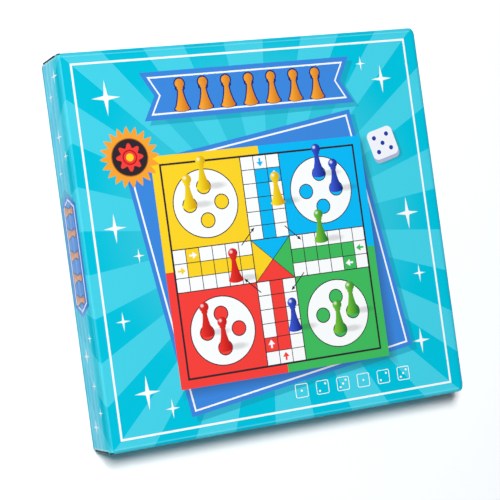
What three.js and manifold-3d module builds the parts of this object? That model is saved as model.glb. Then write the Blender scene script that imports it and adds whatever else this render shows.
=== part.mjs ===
// A folding board-game case: a printed corrugated-card tray with roll-over side walls, a lid that
// folds on its spine and tucks in at the fore edge, and the game that lies inside.
// Millimetres. +Z is up out of the lid, -X is the spine and +Y is the head of the cover.
// The origin is the middle of the face that the case rests on.
import * as THREE from "three";
import { RoundedBoxGeometry } from "three/addons/geometries/RoundedBoxGeometry.js";
import { mergeVertices } from "three/addons/utils/BufferGeometryUtils.js";
import Module from "manifold-3d";

const wasm = await Module();
wasm.setup();

// The closed case
const caseWidth = 270;
const caseLength = 266;
const caseHeight = 40;
const cardThickness = 1.6;
const bendRadius = 2.4;
const spineBendRadius = 3;
const seatGap = 0.3;
const cutOverrun = 1;

// The tray's walls
const foreWallDrop = 4.6;
const foreRelief = 2.6;
const rollEndRelief = 3.5;
const tabLength = 34;
const tabSpacing = 150;
const tabSlotClearance = 0.4;
const tabCornerRadius = 1;
const floorStandoff = 0.5;

// The ears that stand between the two plies of a side wall
const earLength = 30;
const earTopDrop = 2;
const earBottomRise = 1;
const earCornerRadius = 9;

// The lid, its tuck flap and the flap's two ears
const foreOverhangGap = 2;
const lidCornerRadius = 4;
const lidSeat = 0.3;
const flapLength = 27;
const flapLeanDegrees = 6;
const flapCornerRadius = 8;
const flapSideClearance = 1.2;
const foreBendSideClearance = 0.4;
const tuckEarLength = 26;
const tuckEarDepth = 21;
const tuckEarInset = 3;
const tuckEarSlope = 1.5;

// The insert that parts the pieces
const insertWall = 1.6;
const storageHeight = 5;
const insertSideGap = 0.4;
const insertSpineGap = 1;
const insertForeGap = 0.8;
const insertCornerRadius = 2;
const dieCellWidth = 52;
const scoopRadius = 24;
const scoopDepth = 7;

// The folded playing board, its cloth hinges and the rules leaflet
const leafThickness = 2;
const leafCornerRadius = 2;
const leafSpineGap = 5;
const leafForeGap = 11.8;
const leafSideGap = 2.6;
const tapeThickness = 0.3;
const tapeReach = 12;
const tapeEndInset = 6;
const leafletWidth = 148;
const leafletEndInset = 20;
const leafletPly = 0.3;
const leafletFoldGap = 0.3;

// A playing pawn
const pawnHeight = 29.7;
const pawnBaseRadius = 7.25;
const pawnHeadRadius = 4.6;
const pawnNeckRadius = 2.3;
const pawnWaistRadius = 2.7;
const pawnCollarRadius = 3.9;
const pawnCollarHeight = 1.8;
const pawnNeckHeight = 0.9;
const pawnBaseHeight = 2;
const pawnRimRadius = 0.8;
const pawnSkirtRadius = 6.2;
const pawnSpacing = 0.6;
const pawnBayGap = 12;
const pawnsPerColour = 4;

// The die
const dieSize = 14;
const dieEdgeRadius = 1.6;
const pipRadius = 1.3;
const pipDepth = 0.5;
const pipPitch = 3.6;
const dieTurnDegrees = 20;

// How finely round forms are faceted
const bendSteps = 6;
const cornerSteps = 6;
const pawnSides = 14;
const pawnArcSteps = 6;
const pawnSkirtSteps = 4;
const smallArcSteps = 2;
const scoopSides = 48;
const pipSides = 10;
const pipRings = 8;
const dieSteps = 2;

// Places that follow from the sizes above
const halfWidth = caseWidth / 2;
const halfLength = caseLength / 2;
const innerBend = bendRadius - cardThickness;
const lidUnderside = caseHeight - cardThickness;
const rollTop = lidUnderside - lidSeat;
const rollSpring = rollTop - bendRadius;
const spineTop = caseHeight - spineBendRadius;
const foreWallTop = caseHeight - foreWallDrop;
const earOuterY = halfLength - cardThickness - seatGap;
const earInnerY = earOuterY - cardThickness;
const innerPlyOuterY = earInnerY - seatGap;
const innerPlyInnerY = innerPlyOuterY - cardThickness;
const endWallHalf = earOuterY - bendRadius;
const foreInnerX = halfWidth - cardThickness;
const flapOuterX = halfWidth - foreOverhangGap;
const foreBendX = flapOuterX - bendRadius;
const foreBendZ = caseHeight - bendRadius;
const flapLean = THREE.MathUtils.degToRad(flapLeanDegrees);
const foreBendHalf = innerPlyInnerY - foreBendSideClearance;
const flapHalf = innerPlyInnerY - flapSideClearance;
const hingeX = foreBendX + bendRadius * Math.cos(flapLean);
const hingeZ = foreBendZ - bendRadius * Math.sin(flapLean);
const pawnRimTop = pawnBaseHeight - pawnRimRadius / 2;

const card = { color: 0x2fc4dc, roughness: 0.45, metalness: 0 };
const rawCard = { color: 0xb9a184, roughness: 0.9, metalness: 0 };
const whiteCard = { color: 0xf2f1ec, roughness: 0.8, metalness: 0 };
const boardPrint = { color: 0x1f62b4, roughness: 0.5, metalness: 0 };
const clothTape = { color: 0x1b2233, roughness: 0.95, metalness: 0 };
const diePlastic = { color: 0xf7f7f5, roughness: 0.25, metalness: 0 };

const spineAxes = new THREE.Matrix4().makeBasis(
  new THREE.Vector3(1, 0, 0),
  new THREE.Vector3(0, 0, 1),
  new THREE.Vector3(0, -1, 0),
);
const sideAxes = new THREE.Matrix4().makeBasis(
  new THREE.Vector3(0, 1, 0),
  new THREE.Vector3(0, 0, 1),
  new THREE.Vector3(1, 0, 0),
);

function piece(name, geometry, look) {
  const mesh = new THREE.Mesh(geometry, new THREE.MeshStandardMaterial(look));
  mesh.name = name;
  return mesh;
}

function solidOf(geometry) {
  const bare = geometry.clone();
  bare.deleteAttribute("normal");
  bare.deleteAttribute("uv");
  const merged = mergeVertices(bare);
  return new wasm.Manifold(
    new wasm.Mesh({
      numProp: 3,
      vertProperties: new Float32Array(merged.attributes.position.array),
      triVerts: new Uint32Array(merged.index.array),
    }),
  );
}

function geometryOf(solid) {
  const mesh = solid.getMesh();
  const geometry = new THREE.BufferGeometry();
  geometry.setAttribute("position", new THREE.BufferAttribute(mesh.vertProperties, 3));
  geometry.setIndex(new THREE.BufferAttribute(mesh.triVerts, 1));
  geometry.computeVertexNormals();
  return geometry;
}

function extruded(shape, depth, steps = bendSteps) {
  return new THREE.ExtrudeGeometry(shape, { depth, bevelEnabled: false, curveSegments: steps });
}

// A section drawn in X and Z, run along Y and centred on it
function alongY(shape, length, steps) {
  return extruded(shape, length, steps)
    .translate(0, 0, -length / 2)
    .applyMatrix4(spineAxes);
}

// A section drawn in Y and Z, run along X between two ends
function alongX(shape, fromX, toX, steps) {
  return extruded(shape, toX - fromX, steps)
    .applyMatrix4(sideAxes)
    .translate(fromX, 0, 0);
}

function roundedRectangle(lowX, lowY, highX, highY, radius) {
  const shape = new THREE.Shape();
  shape.moveTo(lowX + radius, lowY);
  shape.lineTo(highX - radius, lowY);
  shape.absarc(highX - radius, lowY + radius, radius, -Math.PI / 2, 0);
  shape.lineTo(highX, highY - radius);
  shape.absarc(highX - radius, highY - radius, radius, 0, Math.PI / 2);
  shape.lineTo(lowX + radius, highY);
  shape.absarc(lowX + radius, highY - radius, radius, Math.PI / 2, Math.PI);
  shape.lineTo(lowX, lowY + radius);
  shape.absarc(lowX + radius, lowY + radius, radius, Math.PI, Math.PI * 1.5);
  return shape;
}

// A card wall that bends up from the floor: the outer face stands at +reach
function standingWall(reach, top) {
  const shape = new THREE.Shape();
  shape.moveTo(reach - bendRadius, 0);
  shape.absarc(reach - bendRadius, bendRadius, bendRadius, -Math.PI / 2, 0);
  shape.lineTo(reach, top);
  shape.lineTo(reach - cardThickness, top);
  shape.lineTo(reach - cardThickness, bendRadius);
  shape.absarc(reach - bendRadius, bendRadius, innerBend, 0, -Math.PI / 2, true);
  return shape;
}

function quarterRing(centreX, centreZ, radius, fromAngle, toAngle) {
  const shape = new THREE.Shape();
  shape.absarc(centreX, centreZ, radius, fromAngle, toAngle);
  shape.absarc(centreX, centreZ, radius - cardThickness, toAngle, fromAngle, true);
  return shape;
}

// The floor, slotted for the lock tabs of the rolled walls
function trayFloor() {
  const edgeX = halfWidth - bendRadius;
  const edgeY = halfLength - bendRadius;
  let solid = solidOf(new THREE.BoxGeometry(edgeX * 2, edgeY * 2, cardThickness));
  const slotLength = tabLength + tabSlotClearance * 2;
  const slotWidth = cardThickness + tabSlotClearance * 2;
  const slotY = (innerPlyInnerY + innerPlyOuterY) / 2;
  for (const side of [-1, 1]) {
    for (const end of [-1, 1]) {
      const slot = new THREE.BoxGeometry(slotLength, slotWidth, cardThickness + cutOverrun);
      slot.translate((end * tabSpacing) / 2, side * slotY, 0);
      solid = solid.subtract(solidOf(slot));
    }
  }
  const mesh = piece("tray_floor", geometryOf(solid), rawCard);
  mesh.position.z = cardThickness / 2;
  return mesh;
}

function endWall(name, top, turned) {
  const mesh = piece(name, alongY(standingWall(halfWidth, top), endWallHalf * 2), card);
  mesh.rotation.z = turned;
  return mesh;
}

function outerSideWall(name, mirrored) {
  const foreEnd = halfWidth - foreRelief;
  const ends = mirrored ? [-foreEnd, halfWidth] : [-halfWidth, foreEnd];
  const mesh = piece(name, alongX(standingWall(halfLength, rollSpring), ends[0], ends[1]), card);
  mesh.rotation.z = mirrored ? Math.PI : 0;
  return mesh;
}

// The rolled top of a side wall and the ply that runs back down inside, ending in lock tabs
function rolledSection() {
  const outerCentre = halfLength - bendRadius;
  const innerCentre = innerPlyInnerY + bendRadius;
  const shape = new THREE.Shape();
  shape.moveTo(halfLength, rollSpring);
  shape.absarc(outerCentre, rollSpring, bendRadius, 0, Math.PI / 2);
  shape.absarc(innerCentre, rollSpring, bendRadius, Math.PI / 2, Math.PI);
  shape.lineTo(innerPlyInnerY, seatGap);
  shape.lineTo(innerPlyOuterY, seatGap);
  shape.lineTo(innerPlyOuterY, rollSpring);
  shape.absarc(innerCentre, rollSpring, innerBend, Math.PI, Math.PI / 2, true);
  shape.absarc(outerCentre, rollSpring, innerBend, Math.PI / 2, 0, true);
  return shape;
}

// What the rolled ply keeps, seen square on: its foot stands off the floor except at the tabs
function rolledOutline() {
  const end = halfWidth - rollEndRelief;
  const foot = cardThickness + floorStandoff;
  const shape = new THREE.Shape();
  shape.moveTo(end, foot);
  shape.lineTo(end, caseHeight);
  shape.lineTo(-end, caseHeight);
  shape.lineTo(-end, foot);
  const roundZ = seatGap + tabCornerRadius;
  for (const side of [-1, 1]) {
    const from = (side * tabSpacing - tabLength) / 2;
    const to = (side * tabSpacing + tabLength) / 2;
    shape.lineTo(from, foot);
    shape.lineTo(from, roundZ);
    shape.absarc(from + tabCornerRadius, roundZ, tabCornerRadius, Math.PI, Math.PI * 1.5);
    shape.absarc(to - tabCornerRadius, roundZ, tabCornerRadius, -Math.PI / 2, 0);
    shape.lineTo(to, foot);
  }
  return shape;
}

function rolledSideWall(name, mirrored) {
  const section = solidOf(alongX(rolledSection(), -halfWidth, halfWidth));
  const outline = solidOf(alongY(rolledOutline(), caseLength + cutOverrun * 2, smallArcSteps));
  const mesh = piece(name, geometryOf(section.intersect(outline)), rawCard);
  mesh.rotation.z = mirrored ? Math.PI : 0;
  return mesh;
}

// An ear: the end wall turns a corner into it, and it stands between the plies of the side wall
function earPlan(side) {
  const endX = halfWidth - bendRadius;
  const backX = halfWidth - earLength;
  const plan = new THREE.Shape();
  plan.absarc(endX, side * endWallHalf, bendRadius, 0, (side * Math.PI) / 2, side < 0);
  plan.lineTo(backX, side * earOuterY);
  plan.lineTo(backX, side * earInnerY);
  plan.absarc(endX, side * endWallHalf, innerBend, (side * Math.PI) / 2, 0, side > 0);
  return plan;
}

// What an ear keeps, seen square on: its free end has two round corners
function earFace(bendTop) {
  const endX = halfWidth - bendRadius;
  const roundX = halfWidth - earLength + earCornerRadius;
  const earFoot = bendRadius + earBottomRise;
  const earTop = bendTop - earTopDrop;
  const face = new THREE.Shape();
  face.moveTo(halfWidth + cutOverrun, bendRadius);
  face.lineTo(halfWidth + cutOverrun, bendTop);
  face.lineTo(endX, bendTop);
  face.lineTo(endX - earTopDrop, earTop);
  face.lineTo(roundX, earTop);
  face.absarc(roundX, earTop - earCornerRadius, earCornerRadius, Math.PI / 2, Math.PI);
  face.absarc(roundX, earFoot + earCornerRadius, earCornerRadius, Math.PI, Math.PI * 1.5);
  face.lineTo(endX - earBottomRise, earFoot);
  face.lineTo(endX, bendRadius);
  return face;
}

function cornerEar(name, wallTop, end, side) {
  const stem = solidOf(extruded(earPlan(end * side), caseHeight));
  const face = alongY(earFace(wallTop - seatGap), caseLength + cutOverrun * 2, cornerSteps);
  const mesh = piece(name, geometryOf(stem.intersect(solidOf(face))), card);
  mesh.rotation.z = end > 0 ? 0 : Math.PI;
  return mesh;
}

function lidPanel() {
  const spineX = -halfWidth + spineBendRadius;
  const shape = new THREE.Shape();
  shape.moveTo(spineX, -halfLength);
  shape.lineTo(foreBendX - lidCornerRadius, -halfLength);
  shape.absarc(foreBendX - lidCornerRadius, lidCornerRadius - halfLength, lidCornerRadius, -Math.PI / 2, 0);
  shape.absarc(foreBendX - lidCornerRadius, halfLength - lidCornerRadius, lidCornerRadius, 0, Math.PI / 2);
  shape.lineTo(spineX, halfLength);
  const mesh = piece("lid_panel", extruded(shape, cardThickness, cornerSteps), card);
  mesh.position.z = lidUnderside;
  return mesh;
}

function lidSpineBend() {
  const centreX = -halfWidth + spineBendRadius;
  const ring = quarterRing(centreX, spineTop, spineBendRadius, Math.PI / 2, Math.PI);
  return piece("lid_spine_bend", alongY(ring, caseLength), card);
}

function lidForeBend() {
  const ring = quarterRing(foreBendX, foreBendZ, bendRadius, -flapLean, Math.PI / 2);
  return piece("lid_fore_bend", alongY(ring, foreBendHalf * 2), card);
}

function tuckFlap() {
  const shape = new THREE.Shape();
  shape.moveTo(-flapHalf, -seatGap);
  shape.lineTo(-flapHalf, flapCornerRadius - flapLength);
  shape.absarc(flapCornerRadius - flapHalf, flapCornerRadius - flapLength, flapCornerRadius,
    Math.PI, Math.PI * 1.5);
  shape.absarc(flapHalf - flapCornerRadius, flapCornerRadius - flapLength, flapCornerRadius,
    -Math.PI / 2, 0);
  shape.lineTo(flapHalf, -seatGap);
  return piece("tuck_flap", alongX(shape, -cardThickness, 0, cornerSteps), card);
}

// A tuck ear folds back from the flap's end and its tail is one sweeping curve
function tuckEar(name, side) {
  const frontX = -cardThickness - seatGap;
  const backX = -tuckEarLength;
  const sweepX = tuckEarLength - cardThickness - seatGap;
  const top = -tuckEarInset;
  const shape = new THREE.Shape();
  shape.moveTo(frontX, top - tuckEarDepth);
  shape.lineTo(frontX, top);
  shape.lineTo(backX, top - tuckEarSlope);
  shape.absellipse(frontX, top - tuckEarSlope, sweepX, tuckEarDepth - tuckEarSlope, Math.PI, Math.PI * 1.5);
  const mesh = piece(name, alongY(shape, cardThickness, cornerSteps), card);
  mesh.position.y = side * (flapHalf - cardThickness / 2);
  return mesh;
}

function tuckAssembly() {
  const group = new THREE.Group();
  group.position.set(hingeX, 0, hingeZ);
  group.rotation.y = flapLean;
  group.add(tuckFlap(), tuckEar("tuck_ear_head", 1), tuckEar("tuck_ear_tail", -1));
  return group;
}

// The stack inside: two board pairs, the leaflet and the insert, each on what lies below it
const leafWidth = foreInnerX * 2 - leafSpineGap - leafForeGap;
const leafLength = innerPlyInnerY * 2 - leafSideGap * 2;
const leafletLength = leafLength - leafletEndInset * 2;
const firstLeafZ = cardThickness + seatGap + tapeThickness;
const leafPitch = leafThickness + tapeThickness;
const pairPitch = leafPitch + leafThickness + tapeThickness * 2;
const boardTop = firstLeafZ + pairPitch + leafPitch + leafThickness + tapeThickness;
const leafletZ = boardTop + seatGap;
const leafletThickness = leafletPly * 2 + leafletFoldGap;
const insertZ = leafletZ + leafletThickness + seatGap;
const insertFloorTop = insertZ + insertWall;
const insertTop = lidUnderside - storageHeight;
const leafCentreX = leafWidth / 2 + leafSpineGap - foreInnerX;
const insertLowX = insertSpineGap - foreInnerX;
const flapTipX = hingeX - flapLength * Math.sin(flapLean) - cardThickness * Math.cos(flapLean);
const insertHighX = flapTipX - insertForeGap;
const insertHalfY = flapHalf - cardThickness - insertSideGap;
const insertCentreX = (insertLowX + insertHighX) / 2;

function boardLeaf(number) {
  const pair = Math.floor((number - 1) / 2);
  const place = (number - 1) % 2;
  const halfX = leafWidth / 2;
  const halfY = leafLength / 2;
  const shape = roundedRectangle(-halfX, -halfY, halfX, halfY, leafCornerRadius);
  const mesh = piece(`board_leaf_${number}`, extruded(shape, leafThickness, smallArcSteps), boardPrint);
  mesh.position.set(leafCentreX, 0, firstLeafZ + pair * pairPitch + place * leafPitch);
  return mesh;
}

// A cloth hinge wraps the edges of two leaves, drawn with the leaves' edge at zero
function hingeTape(name, length, lowFace, highFace) {
  const shape = new THREE.Shape();
  shape.moveTo(-tapeReach, lowFace - tapeThickness);
  shape.lineTo(tapeThickness, lowFace - tapeThickness);
  shape.lineTo(tapeThickness, highFace + tapeThickness);
  shape.lineTo(-tapeReach, highFace + tapeThickness);
  shape.lineTo(-tapeReach, highFace);
  shape.lineTo(0, highFace);
  shape.lineTo(0, lowFace);
  shape.lineTo(-tapeReach, lowFace);
  return piece(name, alongY(shape, length - tapeEndInset * 2), clothTape);
}

function boardTapes() {
  const group = new THREE.Group();
  for (const pair of [0, 1]) {
    const low = firstLeafZ + pair * pairPitch;
    const high = low + leafPitch + leafThickness;
    const tape = hingeTape(`board_hinge_${pair + 1}`, leafLength, low, high);
    tape.rotation.z = Math.PI;
    tape.position.x = leafCentreX - leafWidth / 2;
    group.add(tape);
  }
  const middleLow = firstLeafZ + leafPitch;
  const middleHigh = firstLeafZ + pairPitch + leafThickness;
  const middle = hingeTape("board_hinge_3", leafWidth, middleLow, middleHigh);
  middle.rotation.z = Math.PI / 2;
  middle.position.set(leafCentreX, leafLength / 2, 0);
  group.add(middle);
  return group;
}

// The rules leaflet: one sheet folded once, its fold towards the spine
function rulesLeaflet() {
  const radius = leafletThickness / 2;
  const middle = leafletZ + radius;
  const shape = new THREE.Shape();
  shape.moveTo(leafletWidth / 2, middle - radius);
  shape.lineTo(leafletWidth / 2, middle - radius + leafletPly);
  shape.lineTo(radius - leafletWidth / 2, middle - radius + leafletPly);
  shape.absarc(radius - leafletWidth / 2, middle, radius - leafletPly, -Math.PI / 2, Math.PI / 2, true);
  shape.lineTo(leafletWidth / 2, middle + radius - leafletPly);
  shape.lineTo(leafletWidth / 2, middle + radius);
  shape.absarc(radius - leafletWidth / 2, middle, radius, Math.PI / 2, Math.PI * 1.5);
  const mesh = piece("rules_leaflet", alongY(shape, leafletLength, smallArcSteps), whiteCard);
  mesh.position.x = leafCentreX;
  return mesh;
}

function plate(lowX, lowY, lowZ, highX, highY, highZ) {
  const box = new THREE.BoxGeometry(highX - lowX, highY - lowY, highZ - lowZ);
  box.translate((lowX + highX) / 2, (lowY + highY) / 2, (lowZ + highZ) / 2);
  return solidOf(box);
}

// A round scoop out of the top edge of a partition, so that fingers reach the pieces
function scoop(x, y, wallAlongX) {
  const through = insertWall + cutOverrun * 2;
  const cut = new THREE.CylinderGeometry(scoopRadius, scoopRadius, through, scoopSides);
  if (!wallAlongX) {
    cut.rotateZ(Math.PI / 2);
  }
  cut.translate(x, y, insertTop + scoopRadius - scoopDepth);
  return solidOf(cut);
}

// The insert is a shallow open tray whose four partitions turn round the die's square cell
function insertTray() {
  const cell = dieCellWidth / 2;
  const wall = insertWall / 2;
  const outer = roundedRectangle(insertLowX, -insertHalfY, insertHighX, insertHalfY, insertCornerRadius);
  const hollow = plate(
    insertLowX + insertWall, insertWall - insertHalfY, insertFloorTop,
    insertHighX - insertWall, insertHalfY - insertWall, insertTop + cutOverrun,
  );
  const block = extruded(outer, insertTop - insertZ, smallArcSteps).translate(0, 0, insertZ);
  let solid = solidOf(block).subtract(hollow);
  const lowX = insertLowX + wall;
  const highX = insertHighX - wall;
  const highY = insertHalfY - wall;
  const leftX = insertCentreX - cell;
  const rightX = insertCentreX + cell;
  const partitions = [
    plate(lowX, cell - wall, insertZ, rightX + wall, cell + wall, insertTop),
    plate(rightX - wall, -cell - wall, insertZ, rightX + wall, highY, insertTop),
    plate(leftX - wall, -cell - wall, insertZ, highX, wall - cell, insertTop),
    plate(leftX - wall, -highY, insertZ, leftX + wall, cell + wall, insertTop),
  ];
  for (const partition of partitions) {
    solid = solid.add(partition);
  }
  const scoops = [
    scoop((lowX + leftX) / 2, cell, true),
    scoop(rightX, (highY + cell) / 2, false),
    scoop((highX + rightX) / 2, -cell, true),
    scoop(leftX, -(highY + cell) / 2, false),
  ];
  for (const cut of scoops) {
    solid = solid.subtract(cut);
  }
  return piece("insert_tray", geometryOf(solid), whiteCard);
}

function pawnProfile() {
  const points = [new THREE.Vector2(0, 0)];
  const rimCentre = pawnBaseRadius - pawnRimRadius;
  const headZ = pawnHeight - pawnHeadRadius;
  const neckAngle = Math.asin(pawnNeckRadius / pawnHeadRadius);
  const neckTop = headZ - pawnHeadRadius * Math.cos(neckAngle);
  const collarTop = neckTop - pawnNeckHeight;
  const collarLow = collarTop - pawnCollarHeight;
  points.push(new THREE.Vector2(rimCentre, 0));
  points.push(new THREE.Vector2(pawnBaseRadius, pawnRimRadius));
  points.push(new THREE.Vector2(pawnBaseRadius, pawnRimTop));
  points.push(new THREE.Vector2(rimCentre + pawnRimRadius / 2, pawnBaseHeight));
  for (let step = 0; step <= pawnSkirtSteps; step += 1) {
    const share = step / pawnSkirtSteps;
    const flare = (pawnSkirtRadius - pawnWaistRadius) * (1 - share) ** 2;
    const rise = (collarLow - pawnBaseHeight) * share;
    points.push(new THREE.Vector2(pawnWaistRadius + flare, pawnBaseHeight + pawnRimRadius / 2 + rise));
  }
  points.pop();
  points.push(new THREE.Vector2(pawnWaistRadius, collarLow));
  points.push(new THREE.Vector2(pawnCollarRadius, collarLow + pawnCollarHeight / 2));
  points.push(new THREE.Vector2(pawnNeckRadius, collarTop));
  for (let step = 0; step < pawnArcSteps; step += 1) {
    const angle = neckAngle + ((Math.PI - neckAngle) * step) / pawnArcSteps;
    const width = pawnHeadRadius * Math.sin(angle);
    points.push(new THREE.Vector2(width, headZ - pawnHeadRadius * Math.cos(angle)));
  }
  points.push(new THREE.Vector2(0, pawnHeight));
  return points;
}

// A pawn that lies down touches the insert with its base rim and its head
function lyingLean() {
  const reach = pawnHeight - pawnHeadRadius - pawnRimTop;
  const span = Math.hypot(pawnBaseRadius, reach);
  return Math.acos(pawnHeadRadius / span) - Math.atan2(reach, pawnBaseRadius);
}

function lyingPawn(name, colour, x, y, heading) {
  const look = { color: colour, roughness: 0.25, metalness: 0 };
  const geometry = new THREE.LatheGeometry(pawnProfile(), pawnSides);
  geometry.rotateX(Math.PI / 2);
  geometry.rotateZ(Math.PI / pawnSides);
  const mesh = piece(name, geometry, look);
  const lean = lyingLean();
  const rimLow = pawnBaseRadius * Math.cos(lean) + pawnRimTop * Math.sin(lean);
  mesh.rotation.set(0, Math.PI / 2 + lean, heading, "ZYX");
  mesh.position.set(x, y, insertFloorTop + seatGap + rimLow);
  return mesh;
}

// Four pawns of one colour lie side by side at the outer end of their bay
function pawnRow(colourName, colour, startX, startY, stepX, stepY, heading) {
  const group = new THREE.Group();
  const pitch = pawnBaseRadius * 2 + pawnSpacing;
  for (let index = 0; index < pawnsPerColour; index += 1) {
    const x = startX + stepX * pitch * index;
    const y = startY + stepY * pitch * index;
    group.add(lyingPawn(`pawn_${colourName}_${index + 1}`, colour, x, y, heading));
  }
  return group;
}

function pawns() {
  const group = new THREE.Group();
  const edge = insertWall + pawnBayGap;
  const row = edge + pawnBaseRadius;
  const lowX = insertLowX + edge;
  const highX = insertHighX - edge;
  const sideY = insertHalfY - edge;
  const rowLowX = insertLowX + row;
  const rowHighX = insertHighX - row;
  const rowY = insertHalfY - row;
  group.add(
    pawnRow("yellow", 0xffd21f, rowLowX, sideY, 1, 0, -Math.PI / 2),
    pawnRow("blue", 0x1d4fb5, highX, rowY, 0, -1, Math.PI),
    pawnRow("green", 0x2fa64a, rowHighX, -sideY, -1, 0, Math.PI / 2),
    pawnRow("red", 0xd8261f, lowX, -rowY, 0, 1, 0),
  );
  return group;
}

// Pips as places on a three by three grid, for one to six
const pipGridShares = {
  1: [[0, 0]],
  2: [[-1, -1], [1, 1]],
  3: [[-1, -1], [0, 0], [1, 1]],
  4: [[-1, -1], [-1, 1], [1, -1], [1, 1]],
  5: [[-1, -1], [-1, 1], [0, 0], [1, -1], [1, 1]],
  6: [[-1, -1], [-1, 0], [-1, 1], [1, -1], [1, 0], [1, 1]],
};

function pipDimple() {
  const rise = (pipRadius ** 2 - pipDepth ** 2) / (pipDepth * 2);
  const ball = new THREE.SphereGeometry(rise + pipDepth, pipSides, pipRings);
  ball.rotateX(Math.PI / 2);
  return ball.translate(0, 0, dieSize / 2 + rise);
}

// Opposite faces of the die add up to seven
function die() {
  let solid = solidOf(new RoundedBoxGeometry(dieSize, dieSize, dieSize, dieSteps, dieEdgeRadius));
  const turns = {
    1: new THREE.Euler(0, 0, 0),
    6: new THREE.Euler(Math.PI, 0, 0),
    2: new THREE.Euler(Math.PI / 2, 0, 0),
    5: new THREE.Euler(-Math.PI / 2, 0, 0),
    3: new THREE.Euler(0, Math.PI / 2, 0),
    4: new THREE.Euler(0, -Math.PI / 2, 0),
  };
  for (const [count, turn] of Object.entries(turns)) {
    for (const [column, row] of pipGridShares[count]) {
      const dimple = pipDimple().translate(column * pipPitch, row * pipPitch, 0);
      dimple.applyMatrix4(new THREE.Matrix4().makeRotationFromEuler(turn));
      solid = solid.subtract(solidOf(dimple));
    }
  }
  const mesh = piece("die", geometryOf(solid), diePlastic);
  mesh.position.set(insertCentreX, 0, insertFloorTop + seatGap + dieSize / 2);
  mesh.rotation.z = THREE.MathUtils.degToRad(dieTurnDegrees);
  return mesh;
}

const gameCase = new THREE.Group();
gameCase.add(
  trayFloor(),
  endWall("spine_wall", spineTop - seatGap, Math.PI),
  endWall("fore_wall", foreWallTop, 0),
  outerSideWall("head_wall_outer", false),
  outerSideWall("tail_wall_outer", true),
  rolledSideWall("head_wall_rolled", false),
  rolledSideWall("tail_wall_rolled", true),
  cornerEar("spine_ear_head", spineTop, -1, 1),
  cornerEar("spine_ear_tail", spineTop, -1, -1),
  cornerEar("fore_ear_head", foreWallTop, 1, 1),
  cornerEar("fore_ear_tail", foreWallTop, 1, -1),
  lidPanel(),
  lidSpineBend(),
  lidForeBend(),
  tuckAssembly(),
  boardLeaf(1),
  boardLeaf(2),
  boardLeaf(3),
  boardLeaf(4),
  boardTapes(),
  rulesLeaflet(),
  insertTray(),
  pawns(),
  die(),
);

export default gameCase;
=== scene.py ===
"""A folding ludo board box: printed corrugated card outside, an insert, pawns, a die and a board inside."""
import math

import bmesh
import bpy
from mathutils import Matrix, Vector
from mathutils.geometry import interpolate_bezier


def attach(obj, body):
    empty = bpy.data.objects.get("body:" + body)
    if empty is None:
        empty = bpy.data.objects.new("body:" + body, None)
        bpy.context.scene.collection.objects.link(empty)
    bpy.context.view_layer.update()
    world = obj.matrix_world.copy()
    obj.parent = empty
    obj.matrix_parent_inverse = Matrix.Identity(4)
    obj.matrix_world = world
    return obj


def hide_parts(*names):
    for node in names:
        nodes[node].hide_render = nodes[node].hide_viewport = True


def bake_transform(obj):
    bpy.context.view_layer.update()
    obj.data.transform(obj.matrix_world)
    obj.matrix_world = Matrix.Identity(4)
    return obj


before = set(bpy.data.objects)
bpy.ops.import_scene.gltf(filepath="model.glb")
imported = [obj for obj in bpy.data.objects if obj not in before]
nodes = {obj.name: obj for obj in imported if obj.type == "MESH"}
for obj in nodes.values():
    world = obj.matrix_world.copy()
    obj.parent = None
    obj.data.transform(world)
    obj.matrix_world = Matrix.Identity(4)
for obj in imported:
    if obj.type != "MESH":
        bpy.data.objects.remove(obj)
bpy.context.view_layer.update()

MM = 0.001
MERGE = 0.01 * MM


def tint(red, green, blue):
    """A screen colour, 0 to 255, as the linear colour that a shader takes."""
    linear = []
    for part in (red, green, blue):
        share = part / 255
        linear.append(share / 12.92 if share <= 0.04045 else ((share + 0.055) / 1.055) ** 2.4)
    return (*linear, 1.0)


LIGHT_TEAL = tint(70, 211, 232)
DARK_TEAL = tint(0, 195, 221)
SOFT_TEAL = tint(50, 198, 220)
DEEP_TEAL = tint(24, 150, 180)
# A pale teal laid over the print of the spine, its fold and its ears as painted light
PAINTED_LIGHT_TEAL = tint(40, 232, 255)
WHITE = tint(255, 255, 255)
PANEL_BLUE = tint(62, 136, 222)
INK = tint(48, 42, 48)
YELLOW = tint(255, 214, 40)
SKY = tint(10, 186, 246)
RED = tint(250, 66, 60)
GREEN = tint(66, 188, 94)
ORANGE = tint(252, 166, 52)
DEEP_ORANGE = tint(206, 112, 30)
ROYAL = tint(34, 62, 170)
KRAFT = tint(174, 152, 126)
FLUTE_SHADE = tint(52, 42, 36)
NAVY = tint(28, 44, 120)
DEEP_RED = tint(186, 26, 26)

# The lit and the dark side of the printed pawns, by the corner of the board that they start from
PAWN_INKS = {
    "red": (tint(240, 52, 44), DEEP_RED),
    "green": (tint(120, 200, 60), tint(30, 128, 44)),
    "yellow": (tint(255, 226, 40), tint(214, 160, 10)),
    "blue": (tint(60, 90, 215), tint(26, 40, 130)),
}


def placed(name, data):
    """Puts data into the scene as an object."""
    made = bpy.data.objects.new(name, data)
    bpy.context.scene.collection.objects.link(made)
    return made


# The case, in millimetres

CASE_HALF_X, CASE_HALF_Y = 135.0, 133.0
LID_TOP = 40.0
LID_LOW_X, LID_HIGH_X = -132.0, 130.6
CARD = 1.6
LINER = 0.25
FLUTE_PITCH = 3.3
BEND, INNER_BEND = 2.4, 0.8
FLAP_HINGE = (132.987, 37.349)
FLAP_LEAN = math.radians(6)
KEYLINE = 250.0


# Camera and lamp

COVER_SHIFT = -1.5
CAMERA_TURNS = (-0.86, -22.43, -7.5)
COVER_FROM_CAMERA = (0.0498, -0.0541, 4.0804)
FOCAL_PIXELS = 1476.3
PHOTO_PIXELS = 500
SENSOR = 36


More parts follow.
